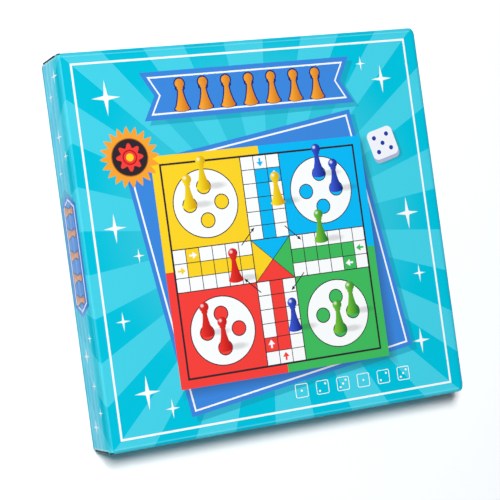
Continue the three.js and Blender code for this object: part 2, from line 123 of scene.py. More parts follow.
def photo_camera():
    """The camera of the photograph, from its turn and place in the frame of the cover's keyline."""
    about_x, about_y, about_z = (
        Matrix.Rotation(math.radians(angle), 3, axis) for angle, axis in zip(CAMERA_TURNS, "XYZ"))
    turn = about_z @ about_y @ about_x
    eye = -(turn.transposed() @ Vector(COVER_FROM_CAMERA)) * KEYLINE
    place = Vector((eye.x + COVER_SHIFT, -eye.y, LID_TOP - eye.z)) * MM
    right, down, ahead = (Vector((row[0], -row[1], -row[2])) for row in turn)
    data = bpy.data.cameras.new("photo_camera")
    data.sensor_width = SENSOR
    data.lens = FOCAL_PIXELS / PHOTO_PIXELS * SENSOR
    data.clip_start = 0.01
    camera = placed("photo_camera", data)
    camera.matrix_world = Matrix.Translation(place) @ Matrix((right, -down, -ahead)).transposed().to_4x4()
    bpy.context.scene.camera = camera


def soft_box(name, place, target, size, power):
    """A rectangular lamp that faces a point."""
    data = bpy.data.lights.new(name, "AREA")
    data.shape = "RECTANGLE"
    data.size, data.size_y = size
    data.energy = power
    lamp = placed(name, data)
    lamp.location = place
    lamp.rotation_euler = (Vector(target) - Vector(place)).to_track_quat("-Z", "Y").to_euler()


# Shader nodes as sums

def operator(operation, swapped=False):
    """A method of Value that adds one Math node."""
    def method(self, other):
        return self.web.math(operation, *((other, self) if swapped else (self, other)))
    return method


class Value:
    """A socket that stands in a Python sum: each operator adds a Math node."""

    def __init__(self, web, socket):
        self.web = web
        self.socket = socket

    __add__, __radd__ = operator("ADD"), operator("ADD", True)
    __sub__, __rsub__ = operator("SUBTRACT"), operator("SUBTRACT", True)
    __mul__, __rmul__ = operator("MULTIPLY"), operator("MULTIPLY", True)
    __truediv__ = operator("DIVIDE")
    __gt__, __lt__ = operator("GREATER_THAN"), operator("LESS_THAN")

    def __neg__(self):
        return self.web.math("MULTIPLY", self, -1.0)

    def __abs__(self):
        return self.web.math("ABSOLUTE", self)


def add_node(tree, kind, settings=None, links=None):
    """Adds a node. links gives an input the socket that feeds it, or else its value."""
    made = tree.nodes.new(kind)
    for key, value in (settings or {}).items():
        setattr(made, key, value)
    for key, value in (links or {}).items():
        if isinstance(value, Value):
            value = value.socket
        if isinstance(value, bpy.types.NodeSocket):
            tree.links.new(value, made.inputs[key])
        else:
            made.inputs[key].default_value = value
    return made


class Web:
    """The nodes of one material."""

    def __init__(self, name):
        self.material = bpy.data.materials.new(name)
        self.material.use_nodes = True
        self.tree = self.material.node_tree
        self.tree.nodes.clear()

    def node(self, kind, settings=None, links=None, out=0):
        """Adds a node and gives back one of its outputs."""
        made = add_node(self.tree, kind, settings, links)
        return Value(self, made.outputs[out]) if len(made.outputs) > 0 else made

    def math(self, operation, *values, clamp=False):
        settings = {"operation": operation, "use_clamp": clamp}
        return self.node("ShaderNodeMath", settings, dict(enumerate(values)))

    def mix(self, share, under, over):
        """A colour laid over another."""
        return self.node("ShaderNodeMix", {"data_type": "RGBA"}, {0: share, 6: under, 7: over}, 2)

    def split(self, vector):
        """The three parts of a vector."""
        first = self.node("ShaderNodeSeparateXYZ", links={0: vector})
        return [Value(self, socket) for socket in first.socket.node.outputs]

    def join(self, x, y, z):
        return self.node("ShaderNodeCombineXYZ", links={0: x, 1: y, 2: z})

    def noise(self, vector, scale, detail=2.0, roughness=0.5):
        links = {"Vector": vector, "Scale": scale, "Detail": detail, "Roughness": roughness}
        return self.node("ShaderNodeTexNoise", links=links)

    def surface(self, colour, roughness, bump=None, strength=0.3, depth=0.0001, **constants):
        """Ends the material in a Principled shader."""
        links = {"Base Color": colour, "Roughness": roughness}
        if bump is not None:
            raised = {"Strength": strength, "Distance": depth, "Height": bump}
            links["Normal"] = self.node("ShaderNodeBump", links=raised)
        links.update({key.replace("_", " "): value for key, value in constants.items()})
        shader = self.node("ShaderNodeBsdfPrincipled", links=links)
        self.node("ShaderNodeOutputMaterial", links={"Surface": shader})
        return self.material


def on_part(name):
    """Starts a piece's material: its nodes, and where a point lies on the object, in millimetres."""
    web = Web(name)
    where = web.node("ShaderNodeTexCoord", out=3)
    point = web.node("ShaderNodeVectorMath", {"operation": "SCALE"}, {0: where, "Scale": 1000.0})
    return web, point, *web.split(point)


def of_one(operation):
    """A function that adds a Math node with one input."""
    return lambda value: value.web.math(operation, value)


sine, fraction, sign_of = of_one("SINE"), of_one("FRACT"), of_one("SIGN")


def ramp(value, slope, start):
    """A slope that is kept from nought to one."""
    return value.web.math("MULTIPLY_ADD", value, slope, start, clamp=True)


def largest(first, *others):
    """The largest of a value and other values or numbers."""
    for other in others:
        first = first.web.math("MAXIMUM", first, other)
    return first


def smallest(first, *others):
    """The smallest of a value and other values or numbers."""
    for other in others:
        first = first.web.math("MINIMUM", first, other)
    return first


def within(distance, soft=0.16):
    """One inside an outline and nothing outside it, over a printed edge's width."""
    return ramp(distance, -1 / soft, 0.5)


def band(value, middle, half, soft=0.16):
    """One on a line about a middle value."""
    return within(abs(value - middle) - half, soft)


def length(x, y):
    """The length of a vector with these two parts."""
    return x.web.math("SQRT", x * x + y * y)


def round_square(x, y, half, corner):
    """How far a point lies outside a square with round corners."""
    return length(largest(abs(x) - half + corner, 0.0), largest(abs(y) - half + corner, 0.0)) - corner


def coats(colour, *layers):
    """A colour with others laid over it in turn: each layer is a mask and its ink."""
    for mask, ink in layers:
        colour = mask.web.mix(mask, colour, ink)
    return colour


def choose(when, yes, no):
    """A value by a mask of nought or one."""
    return no + when * (yes - no)


def turned(x, y, degrees):
    """A point's place in axes that are turned against it."""
    angle = math.radians(degrees)
    return x * math.cos(angle) + y * math.sin(angle), y * math.cos(angle) - x * math.sin(angle)


# The print

PRINT_SHIFT = -0.7
RAY_PITCH = 29.8
RAY_REACH = 134.0
PURE_CENTRE = 14.0
PURE_START = 84.0
PURE_FADE = 46.0


def rays(u, v):
    """One on the light rays of a sunburst whose rays meet the cover's edges at even steps."""
    across, along = abs(u), abs(v)
    sideways = across > along
    slope = smallest(across, along) / largest(across, along)
    step = u.web.math("ROUND", slope * (RAY_REACH / RAY_PITCH))
    odd = u.web.math("MODULO", step, 2.0)
    return abs(odd - 1.0 + sideways)


def sunburst(u, v):
    """The two teals of the ground: the dark rays are purest towards the rim."""
    web = u.web
    rim = ramp(length(u, v - PURE_CENTRE), 1 / PURE_FADE, -PURE_START / PURE_FADE)
    dark = web.mix(rim * rim * (3.0 - 2.0 * rim), SOFT_TEAL, DARK_TEAL)
    return web.mix(rays(u, v), dark, LIGHT_TEAL)


def sparkle(u, v, centre, wide, tall):
    """A four-pointed star of two thin lozenges whose inner corners are filled."""
    x, y = abs(u - centre[0]), abs(v - centre[1])
    slim = min(wide, tall) * 0.17
    upright = x * (1 / slim) + y * (1 / tall)
    level = x * (1 / wide) + y * (1 / slim)
    return within((u.web.math("SMOOTH_MIN", upright, level, 0.7) - 1.0) * slim)


def sparkles(colour, u, v, places):
    """White sparkles, each given by its centre, half its width and half its height."""
    return coats(colour, *[(sparkle(u, v, (x, y), wide, tall), WHITE) for x, y, wide, tall in places])


def pawn_outline(x, y):
    """A pawn of height one that stands on the origin."""
    head = length(x, y - 0.84) - 0.155
    rise = ramp(y, -1 / 0.74, 1.0)
    waist = abs(x) - (rise * rise * 0.17 + 0.07)
    body = largest(waist, y - 0.74, -y)
    collar = length(x * 0.6, y - 0.69) - 0.062
    foot = length(x, y * 2.6 - 0.06) - 0.245
    return smallest(head, body, collar, foot)


def pawn_print(colour, x, y, height, light, dark, soft):
    """A pawn drawn with a lit left side, a dark right side and a shadow on the ground."""
    web = x.web
    across, up = x * (1 / height), y * (1 / height)
    shadow = within(length(across - 0.42, up * 3.2 - 0.12) - 0.3, 0.25)
    colour = web.mix(shadow * 0.28, colour, INK)
    mask = within(pawn_outline(across, up), soft / height)
    shade = ramp(across, 3.0, 0.45)
    body = web.mix(shade, light, dark)
    glint = within(length(across + 0.055, up - 0.89) - 0.045, 0.05)
    return web.mix(mask, colour, web.mix(glint * 0.7, body, WHITE))


def ludo_board(colour, u, v, centre, cell):
    """The traditional board: yards, a cross of squares, home runs, a centre of triangles, and pawns."""
    web = u.web
    s, t = (u - centre[0]) * (1 / cell), (v - centre[1]) * (1 / cell)
    across, along = abs(s), abs(t)
    right, upper = s > 0.0, t > 0.0
    fine = 0.18 / cell

    def by_quarter(red, green, yellow, blue):
        return web.mix(upper, web.mix(right, red, green), web.mix(right, yellow, blue))
    quarter = by_quarter(RED, GREEN, YELLOW, SKY)
    shadow = largest(abs(s - 0.35) - 8.2, abs(t + 0.4) - 8.2)
    sheet = within(largest(across, along) - 8.15, fine)
    colour = coats(colour, (within(shadow, 0.7) * 0.38, INK), (sheet, quarter))
    # The yards
    yard_x, yard_y = abs(across - 4.5), abs(along - 4.5)
    ring = length(yard_x, yard_y) - 2.42
    spot = length(largest(yard_x, yard_y) - 1.2, smallest(yard_x, yard_y)) - 0.52
    rings = within(smallest(abs(ring), abs(spot)) - 0.035, fine)
    colour = coats(colour, (within(ring, fine), WHITE), (within(spot, fine), quarter), (rings, INK))
    # The cross: each arm is turned to hang down from the centre
    level = across > along
    arm = web.mix(level, web.mix(upper, RED, SKY), web.mix(right, YELLOW, GREEN))
    aside = choose(level, t * sign_of(s), -1.0 * s * sign_of(t))
    away = largest(across, along)
    narrow = smallest(across, along)
    cross = within(largest(narrow - 1.5, away - 7.5), fine)
    home = largest(abs(aside) - 0.5, abs(away - 4.0) - 2.5)
    start = largest(abs(aside + 1.0), abs(away - 6.0)) - 0.5
    colour = coats(colour, (cross, WHITE), (within(smallest(home, start), fine), arm))
    outer = aside < -0.5
    arrow_x, arrow_y = aside + outer, away - 7.0 + outer
    shaft = largest(abs(arrow_x) - 0.07, abs(arrow_y) - 0.26)
    barb = largest(abs(arrow_x) - (arrow_y + 0.34) * 0.75, arrow_y)
    near = largest(shaft, abs(arrow_y) - 0.34)
    arrow = within(smallest(near, barb), fine) * (abs(arrow_x) < 0.45)
    colour = web.mix(arrow * (away > 5.5), colour, web.mix(outer, arm, WHITE))
    squares = smallest(abs(fraction(s + 8.0) - 0.5), abs(fraction(t + 8.0) - 0.5))
    lines = within(squares - 0.028, fine) * (away > 1.5) * cross
    edge = smallest(abs(narrow - 1.5) + (away > 7.5) * 9.0, abs(away - 1.5) + (narrow > 1.5) * 9.0)
    diagonal = abs(across - along) + (away > 1.5) * 9.0
    lines = largest(lines, within(smallest(edge, diagonal) - 0.035, fine))
    rim = band(away, 7.5, 0.07, fine)
    colour = coats(colour, (within(away - 1.5, fine), arm), (lines, INK), (rim, INK))
    # The four arrows that turn the inner corners
    lead = (across - along) * sign_of(s * t)
    offset = across + along - 3.5
    dart = smallest(largest(abs(offset) - 0.05, abs(lead) - 1.0),
                    largest(abs(offset) - (1.3 - lead) * 0.4, 0.85 - lead))
    colour = web.mix(within(dart, fine), colour, INK)
    # The pawns: two in each yard and four on the squares
    lit, deep = (by_quarter(*inks) for inks in zip(*PAWN_INKS.values()))
    for yard_x, yard_y in ((5.7, 4.5), (4.5, 5.7)):
        at_x, at_y = sign_of(s) * (across - yard_x), t - sign_of(t) * yard_y + 0.12
        colour = pawn_print(colour, at_x, at_y, 2.3, lit, deep, fine)
    for name, x, y in (("red", -3.0, -1.15), ("blue", 1.0, -5.2), ("yellow", 1.0, 3.9), ("green", 4.0, 0.85)):
        colour = pawn_print(colour, s - x, t - y, 2.3, *PAWN_INKS[name], fine)
    return colour


def blue_sheet(colour, u, v, outline, shift, inset):
    """A blue sheet of any outline, with a white keyline set in from its edge and a soft offset shadow."""
    shadow = within(outline(u - shift, v + shift), 0.5) * 0.55
    shape = outline(u, v)
    return coats(colour, (shadow, DEEP_TEAL), (within(shape), PANEL_BLUE), (band(shape, -inset, 0.6), WHITE))


def pennant(colour, u, v, centre, half, rise, notch):
    """A blue banner with swallow-tailed ends."""
    def outline(across, up):
        x, y = abs(across - centre[0]), abs(up - centre[1])
        return largest(y - rise, x - half - y * notch)
    return blue_sheet(colour, u, v, outline, 3.2, 4.0)


def pawn_parade(colour, u, v, first, count, pitch, low, height):
    """A row of orange pawns that stand at even steps."""
    web = u.web
    along = u - first + pitch / 2
    here = (fraction(along * (1 / pitch)) - 0.5) * pitch
    inside = (along > 0.0) * (along < pitch * count)
    across, up = here * (1 / height), (v - low) * (1 / height)
    shape = pawn_outline(across, up)
    shade = ramp(across, 2.6, 0.35)
    soft = 0.2 / height
    colour = web.mix(within(shape - 0.045, soft) * inside, colour, NAVY)
    return web.mix(within(shape, soft) * inside, colour, web.mix(shade, ORANGE, DEEP_ORANGE))


def star_badge(colour, u, v, centre, outer, inner, points):
    """An orange star with a dark disc and a red rosette."""
    web = u.web
    x, y = u - centre[0], v - centre[1]
    reach = length(x, y)
    angle = web.math("ARCTAN2", y, x)
    spike = abs(fraction(angle * (points / math.tau) + 0.5) - 0.5) * 2.0
    rim = outer - spike * (outer - inner)
    petals = web.math("COSINE", angle * 8.0) * (inner * 0.1) + inner * 0.52
    return coats(
        colour, (within(reach - rim), ORANGE), (within(reach - inner * 0.84), tint(190, 110, 40)),
        (within(reach - inner * 0.80), INK), (within(reach - petals), RED),
        (band(reach, inner * 0.3, 0.45), DEEP_RED), (within(reach - inner * 0.17), YELLOW))


def die_print(colour, u, v, centre, half, degrees):
    """A white die that shows its five, with its lower side in shade."""
    corner = 4.0
    x, y = turned(u - centre[0], v - centre[1], degrees)
    shadow = within(round_square(x - 1.6, y + 3.6, half, corner), 2.4) * 0.35
    low, face = (within(round_square(x, y + drop, half, corner)) for drop in (2.6, 0.0))
    pips = smallest(length(abs(x) - half * 0.5, abs(y) - half * 0.5), length(x, y)) - half * 0.155
    return coats(colour, (shadow, INK), (low, tint(176, 184, 214)), (face, tint(246, 247, 252)),
                 (within(pips), ROYAL))


def pip_tiles(colour, u, v, centre, count, pitch, half):
    """A row of small pale tiles that show one, two or three pips in turn."""
    web = u.web
    along = (u - centre[0]) * (1 / pitch) + count / 2
    inside = (along > 0.0) * (along < float(count))
    x, y = (fraction(along) - 0.5) * pitch, v - centre[1]
    tile = round_square(x, y, half, 1.2)
    turn = web.math("MODULO", web.math("FLOOR", along), 3.0)
    aside = choose(turn > 0.5, half * 0.5, half * 9.0)
    pair = length(abs(x) - aside, (y * sign_of(x)) - aside)
    middle = length(x, y) + (abs(turn - 1.0) < 0.5) * 9.0
    pips = smallest(pair, middle) - 0.75
    return coats(colour, *[(within(shape) * inside, WHITE) for shape in (abs(tile) - 0.25, pips)])


LID_SPARKLES = (
    (-104, 101, 10, 12), (103, 98, 8, 10), (88, 110, 4, 5), (-110, 14, 8, 10), (-96, -6, 4, 5),
    (109, 0, 9, 11.5), (-103, -97, 9, 11.5), (-87, -110, 5, 6.5), (106, -92, 7, 9), (-113, -48, 5, 6.5),
    (112, -44, 5, 6.5),
)


def cover_print(u, v):
    """Everything printed on the cover, with its keyline centred on the origin."""
    def tilted_square(across, up):
        x, y = turned(across, up + 20.0, 8.0)
        return largest(abs(x), abs(y)) - 87.0
    colour = sunburst(u, v)
    colour = sparkles(colour, u, v, LID_SPARKLES)
    colour = blue_sheet(colour, u, v, tilted_square, 3.6, 3.6)
    colour = pennant(colour, u, v, (0.0, 99.5), 70.0, 16.5, 0.55)
    colour = pawn_parade(colour, u, v, -51.0, 7, 17.0, 89.0, 21.0)
    colour = ludo_board(colour, u, v, (0.0, -20.0), 9.7)
    colour = star_badge(colour, u, v, (-93.0, 60.0), 21.0, 15.5, 20)
    colour = die_print(colour, u, v, (97.0, 52.0), 10.5, 14.0)
    colour = pip_tiles(colour, u, v, (48.0, -113.0), 6, 16.0, 4.6)
    return u.web.mix(band(largest(abs(u), abs(v)), KEYLINE / 2, 0.72), colour, WHITE)


SPINE_SPARKLES = (
    (14, 120, 6, 5.5), (28, 108, 4, 3.6), (21, 80, 6, 5.5), (12, 66, 4, 3.6), (29, 56, 4, 3.6),
    (14, -56, 4, 3.6), (26, -68, 6, 5.5), (18, -88, 4, 3.6), (12, -106, 4, 3.6), (26, -116, 6, 5.5),
)
SPINE_PRINT_TOP = 41.7


def spine_print(down, v, painted_light_share=0.12):
    """The cover's rays mirrored in the fold, sparkles and a small banner. down runs from the fold;
    painted_light_share lifts the rays towards a pale teal as painted light.
    """
    # Painted light: the rays are lifted towards a pale teal.
    colour = v.web.mix(painted_light_share, sunburst(down + LID_LOW_X - PRINT_SHIFT, v), PAINTED_LIGHT_TEAL)
    colour = sparkles(colour, down, v, SPINE_SPARKLES)
    colour = pennant(colour, v, -down, (0.0, -21.5), 42.0, 15.5, -0.5)
    return pawn_parade(colour, v, -down, -30.0, 5, 15.0, -30.0, 17.0)


# Shapes

def finished(name, mesh, material, smooth=50.0):
    """Turns a bmesh into an object whose faces point outwards and are smooth up to an angle in degrees."""
    bmesh.ops.recalc_face_normals(mesh, faces=mesh.faces)
    data = bpy.data.meshes.new(name)
    mesh.to_mesh(data)
    mesh.free()
    data.shade_smooth()
    data.set_sharp_from_angle(angle=math.radians(smooth))
    data.materials.append(material)
    return placed(name, data)


def copied(node):
    """A bmesh of a CAD piece, whose points that lie together are made one."""
    mesh = bmesh.new()
    mesh.from_mesh(nodes[node].data)
    bmesh.ops.remove_doubles(mesh, verts=mesh.verts, dist=MERGE)
    return mesh


def fill(mesh, grid):
    """Adds the faces between the points of a grid."""
    for low, high in zip(grid, grid[1:]):
        for j in range(len(low) - 1):
            mesh.faces.new((low[j], high[j], high[j + 1], low[j + 1]))


def spin(degrees, axis):
    """A turn about an axis."""
    return Matrix.Rotation(math.radians(degrees), 4, axis)


def sheet_into(mesh, outer, inner):
    """Adds a sheet between two grids of points in millimetres, closed all round its rim."""
    rows, columns = len(outer), len(outer[0])
    front, back = [[[mesh.verts.new(Vector(point) * MM) for point in row] for row in grid]
                   for grid in (outer, inner)]
    fill(mesh, front)
    fill(mesh, back)
    rim = [(i, 0) for i in range(rows)] + [(rows - 1, j) for j in range(1, columns)]
    rim += [(i, columns - 1) for i in range(rows - 2, -1, -1)] + [(0, j) for j in range(columns - 2, 0, -1)]
    for here, there in zip(rim, rim[1:] + rim[:1]):
        mesh.faces.new((front[here[0]][here[1]], back[here[0]][here[1]],
                        back[there[0]][there[1]], front[there[0]][there[1]]))


def sheet_piece(name, outer, inner, paper):
    """A finished piece of one closed sheet."""
    mesh = bmesh.new()
    sheet_into(mesh, outer, inner)
    return finished(name, mesh, paper)


def steps(low, high, count):
    """Even steps from one number to another, with both of them."""
    return [low + (high - low) * step / count for step in range(count + 1)]


def eased(value):
    """The square of a value that is above nought: a curve that starts off level."""
    return max(0.0, value) ** 2


def mark_places(piece, places):
    """Gives each point of a bend its place on the print: down from the fold, along it, and its depth."""
    marks = piece.data.attributes.new("fold_place", "FLOAT_VECTOR", "POINT")
    for mark, place in zip(marks.data, places):
        mark.vector = place


# The card

LID_CORNER = 3.9
CORNER_REACH = 134.5
CRUSH_WIDTH = 2.2
CRUSH_DEPTH = 0.75
CRUSH_RIDGE = 0.16


def crush(y):
    """How far the die has pressed the top sheet down near the cover's long edges, past a low ridge."""
    past = (abs(y) - CASE_HALF_Y + CRUSH_WIDTH * 2) / CRUSH_WIDTH
    ridge = 0.5 - 0.5 * math.cos(math.pi * min(2.0, max(0.0, past)))
    return eased(past - 1.0) * CRUSH_DEPTH - ridge * CRUSH_RIDGE


def lid_reach(x):
    """Half the cover's length at x: its two fore corners are round."""
    past = x - (CORNER_REACH - LID_CORNER)
    if past <= 0:
        return CASE_HALF_Y
    return CASE_HALF_Y - LID_CORNER + math.sqrt(max(0.0, LID_CORNER ** 2 - past ** 2))


def lid_grid(height, columns, pressed):
    """Points over the cover at a height, with close rows where the long edges are pressed."""
    shares = (0, 0.12, 0.3, 0.5, 0.75, 1, 1.25, 1.5, 1.75, 2)
    rows = [-CASE_HALF_Y + CRUSH_WIDTH * share for share in shares]
    rows += [-90.0, -45.0, 0.0, 45.0, 90.0] + [-value for value in reversed(rows)]
    grid = []
    for row in rows:
        points = []
        for x in columns:
            y = row / CASE_HALF_Y * lid_reach(x)
            points.append((x, y, height - (crush(row) if pressed else 0.0)))
        grid.append(points)
    return grid


def flute_tree():
    """Geometry Nodes: a sheet of paper in even waves, the medium of corrugated card."""
    tree = bpy.data.node_groups.new("fluted_medium", "GeometryNodeTree")
    face = tree.interface
    sockets = {}
    for label, kind, value in (
        ("Low X", "Float", 0.0), ("Width", "Float", 0.26), ("Length", "Float", 0.26),
        ("Middle Z", "Float", 0.0), ("Pitch", "Float", 0.0033), ("Swing", "Float", 0.0004),
        ("Columns", "Int", 600), ("Paper", "Material", None),
    ):
        made = face.new_socket(label, in_out="INPUT", socket_type=f"NodeSocket{kind}")
        if value is not None:
            made.default_value = value
        sockets[label] = made.identifier
    face.new_socket("Geometry", in_out="OUTPUT", socket_type="NodeSocketGeometry")

    def add(kind, links=None, out=0):
        return add_node(tree, kind, None, links).outputs[out]

    def sum_of(operation, *values):
        return add_node(tree, "ShaderNodeMath", {"operation": operation}, dict(enumerate(values))).outputs[0]

    given = add_node(tree, "NodeGroupInput").outputs
    grid = add("GeometryNodeMeshGrid", {
        "Size X": given["Width"], "Size Y": given["Length"], "Vertices X": given["Columns"], "Vertices Y": 2})
    along = add("ShaderNodeSeparateXYZ", {0: add("GeometryNodeInputPosition")})
    wave = sum_of("SINE", sum_of("MULTIPLY", sum_of("DIVIDE", along, given["Pitch"]), math.tau))
    rise = sum_of("MULTIPLY_ADD", wave, given["Swing"], given["Middle Z"])
    half = sum_of("MULTIPLY_ADD", given["Width"], 0.5, given["Low X"])
    shift = add("ShaderNodeCombineXYZ", {"X": half, "Y": 0.0, "Z": rise})
    moved = add("GeometryNodeSetPosition", {"Geometry": grid, "Offset": shift})
    plain = add("GeometryNodeRealizeInstances", {"Geometry": moved})
    dressed = add("GeometryNodeSetMaterial", {"Geometry": plain, "Material": given["Paper"]})
    add_node(tree, "NodeGroupOutput", None, {"Geometry": dressed})
    return tree, sockets


WAVES_FROM_LOW, WAVES_FROM_HIGH = 0.3, 0.9
WAVE_PAPER = 0.2


def lid_flutes(paper):
    """The waves between the cover's two sheets, as a mesh of its own."""
    tree, sockets = flute_tree()
    seed = placed("lid_flutes_seed", bpy.data.meshes.new("lid_flutes_seed"))
    waves = seed.modifiers.new("waves", "NODES")
    waves.node_group = tree
    width = LID_HIGH_X - LID_LOW_X - (WAVES_FROM_LOW + WAVES_FROM_HIGH)
    inset = CRUSH_WIDTH * 0.45
    values = {
        "Low X": (LID_LOW_X + WAVES_FROM_LOW) * MM, "Width": width * MM,
        "Length": (CASE_HALF_Y - inset) * 2 * MM, "Middle Z": (LID_TOP - CARD / 2) * MM,
        "Pitch": FLUTE_PITCH * MM, "Swing": (CARD / 2 - LINER - WAVE_PAPER / 2) * MM,
        "Columns": int(width / FLUTE_PITCH * 8), "Paper": paper,
    }
    for label, value in values.items():
        waves[sockets[label]] = value
    wall = seed.modifiers.new("paper", "SOLIDIFY")
    wall.thickness = WAVE_PAPER * MM
    wall.offset = 0.0
    made = bpy.data.meshes.new_from_object(seed.evaluated_get(bpy.context.evaluated_depsgraph_get()))
    bpy.data.objects.remove(seed)
    return made


def lid_card(print_paper, inner_paper, wave_paper):
    """The cover as card: a printed sheet whose long edges are pressed down, waves and a brown sheet."""
    columns = steps(LID_LOW_X, LID_HIGH_X, 12)
    pieces = []
    for name, top, pressed, paper in (
        ("lid_print_sheet", LID_TOP, True, print_paper),
        ("lid_brown_sheet", LID_TOP - CARD + LINER, False, inner_paper),
    ):
        upper, lower = (lid_grid(height, columns, pressed) for height in (top, top - LINER))
        pieces.append(sheet_piece(name, upper, lower, paper))
    pieces.append(placed("lid_waves", lid_flutes(wave_paper)))
    for sheet in pieces:
        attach(sheet, "lid")
    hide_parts("lid_panel")


def crease(name, path, half, paper, node):
    """A bend of card at a fold: path runs down from the cover over the outside of the fold."""
    rows = [half * share for share in (-1.0, -0.5, 0.0, 0.5, 1.0)]
    outer = [[(x, row, z) for x, z, _, _, _ in path] for row in rows]
    inner = [[(x, row, z) for _, _, x, z, _ in path] for row in rows]
    bend = sheet_piece(name, outer, inner, paper)
    ways = [point[4] for point in path]
    mark_places(bend, [(down, row, depth) for depth in (0.0, CARD) for row in rows for down in ways])
    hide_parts(node)
    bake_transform(bend)


def floor_bend(middle, last):
    """Across and up for the outside and the inside of a wall, where it turns up out of the floor."""
    return [(middle + BEND * math.cos(turn), BEND + BEND * math.sin(turn),
             middle + INNER_BEND * math.cos(turn), BEND + INNER_BEND * math.sin(turn))
            for turn in (math.radians(angle) for angle in steps(-90, last, 8))]


SPINE_HALF = 131.6
SPINE_TOP = 36.7
SPINE_LEAN = 1.0
LEAN_FROM = 15.0
WASHBOARD = 0.17
SPINE_FLUTE = 7.9
SPINE_FLUTE_PHASE = 0.5
FOOT_HEIGHT = 5.0
FOOT_RELIEF = 3.4
CROWN_FROM = 32.0


def spine_face(height):
    """How far in the spine's face lies: it leans in towards the fold, and long flutes show lower down."""
    lean = SPINE_LEAN * eased((height - LEAN_FROM) / (SPINE_TOP - LEAN_FROM))
    ease = min(1.0, max(0.0, (height - BEND) / 3), max(0.0, (29.0 - height) / 6))
    return lean + ease * WASHBOARD * (math.sin(height * math.tau / SPINE_FLUTE + SPINE_FLUTE_PHASE) + 1.0)


def washboard_spine(paper):
    """The spine wall as bulged card, whose lower corners are relieved, and which widens towards the cover."""
    path = floor_bend(BEND - CASE_HALF_X, -180)
    for height in steps(BEND, SPINE_TOP, 110)[1:]:
        lean = spine_face(height)
        path.append((lean - CASE_HALF_X, height, CARD - CASE_HALF_X + min(lean, SPINE_LEAN), height))

    def reach(height):
        crown = eased((height - CROWN_FROM) / (SPINE_TOP - CROWN_FROM)) * (CASE_HALF_Y - SPINE_HALF)
        return SPINE_HALF - eased(1.0 - height / FOOT_HEIGHT) * FOOT_RELIEF + crown
    rows = steps(-1.0, 1.0, 8)
    outer = [[(x, row * reach(z), z) for x, z, _, _ in path] for row in rows]
    inner = [[(x, row * reach(z), z) for _, _, x, z in path] for row in rows]
    wall = sheet_piece("washboard_spine", outer, inner, paper)
    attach(wall, "tray")
    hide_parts("spine_wall")


def spine_ears(paper):
    """The ears at the spine's corners: copies whose bends are drawn in behind the spine's bulged face."""
    for end in ("head", "tail"):
        node = f"spine_ear_{end}"
        mesh = copied(node)
        for vertex in mesh.verts:
            height = vertex.co.z / MM
            bent = max(0.0, BEND - CASE_HALF_X - vertex.co.x / MM) / BEND
            vertex.co.x += (0.4 + 0.95 * height / SPINE_TOP) * bent * MM
            if height > SPINE_TOP - 0.1:
                vertex.co.z -= 0.3 * MM
        ear = finished(f"drawn_spine_ear_{end}", mesh, paper, smooth=40.0)
        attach(ear, "tray")
        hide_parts(node)


PLY_LOW_X, PLY_HIGH_X = -134.6, 132.4
PLY_HEIGHTS = (3.2, 4.0, 5.0, 6.0, 12.0, 31.0, 32.0, 33.0, 34.0, 35.0, 35.7)
PLY_CROWN_FROM = 31.0
PLY_CROWN_RELIEF = 2.2
PLY_FOOT_HEIGHT = 5.5
CRUSHED_END = 4.0


def side_ply(name, side, paper):
    """The outer ply of a side wall: its end at the spine is crushed thin, and its corners are relieved."""
    path = floor_bend(CASE_HALF_Y - BEND, 0)
    path += [(CASE_HALF_Y, height, CASE_HALF_Y - CARD, height) for height in PLY_HEIGHTS]
    outer, inner = [], []
    for out_y, out_z, in_y, in_z in path:
        foot = eased(1.0 - out_z / PLY_FOOT_HEIGHT) * FOOT_RELIEF
        crown = eased((out_z - PLY_CROWN_FROM) / (PLY_HEIGHTS[-1] - PLY_CROWN_FROM)) * PLY_CROWN_RELIEF
        low, high = PLY_LOW_X + foot + crown, PLY_HIGH_X - foot
        xs = steps(low, low + CRUSHED_END, 5) + steps(low + CRUSHED_END, high, 8)[1:]
        outer.append([(x, side * out_y, out_z) for x in xs])
        inner.append([(x, side * (in_y + 0.9 * eased(1.0 - (x - low) / CRUSHED_END)), in_z) for x in xs])
    wall = sheet_piece(f"{name}_ply", outer, inner, paper)
    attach(wall, "tray")
    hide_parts(f"{name}_wall_outer")


FORE_HALF = 127.2
SPINE_FOLD_OUT, SPINE_FOLD_IN = (2.0, 3.3), (0.4, 1.7)
SPINE_FOLD_PRINT = 5.0
FORE_FOLD_OUT = ((LID_HIGH_X, LID_TOP), (133.4, 40.0), (136.5, 39.3), FLAP_HINGE)
FORE_FOLD_IN = ((LID_HIGH_X, LID_TOP - CARD), (131.6, 38.4), (132.7, 38.2), (131.396, 37.516))


def measured(path):
    """The section of a fold, with the way down over its outside added to each point."""
    downs = [0.0]
    for here, there in zip(path, path[1:]):
        downs.append(downs[-1] + math.dist(there[:2], here[:2]))
    return [(*point, down) for point, down in zip(path, downs)]


def spine_fold():
    """The section of the spine's fold: two quarters of ellipses."""
    path = []
    for angle in steps(90, 0, 12):
        x, z = math.cos(math.radians(angle)), math.sin(math.radians(angle))
        path.append((LID_LOW_X - SPINE_FOLD_OUT[0] * x, SPINE_TOP + SPINE_FOLD_OUT[1] * z,
                     LID_LOW_X - SPINE_FOLD_IN[0] * x, SPINE_TOP + SPINE_FOLD_IN[1] * z))
    path = measured(path)
    return [(*point[:4], point[4] * SPINE_FOLD_PRINT / path[-1][4]) for point in path]


def fore_fold():
    """The section of the fold at the tuck flap."""
    outside, inside = (interpolate_bezier(*[(x, z, 0) for x, z in points], 15)
                       for points in (FORE_FOLD_OUT, FORE_FOLD_IN))
    return measured([(*out[:2], *back[:2]) for out, back in zip(outside, inside)])


def make_creases(spine_paper, fore_paper):
    """The two folds at the lid's spine and fore edges."""
    crease("spine_crease", spine_fold(), CASE_HALF_Y,
           spine_paper, "lid_spine_bend")
    crease("fore_crease", fore_fold(), FORE_HALF,
           fore_paper, "lid_fore_bend")


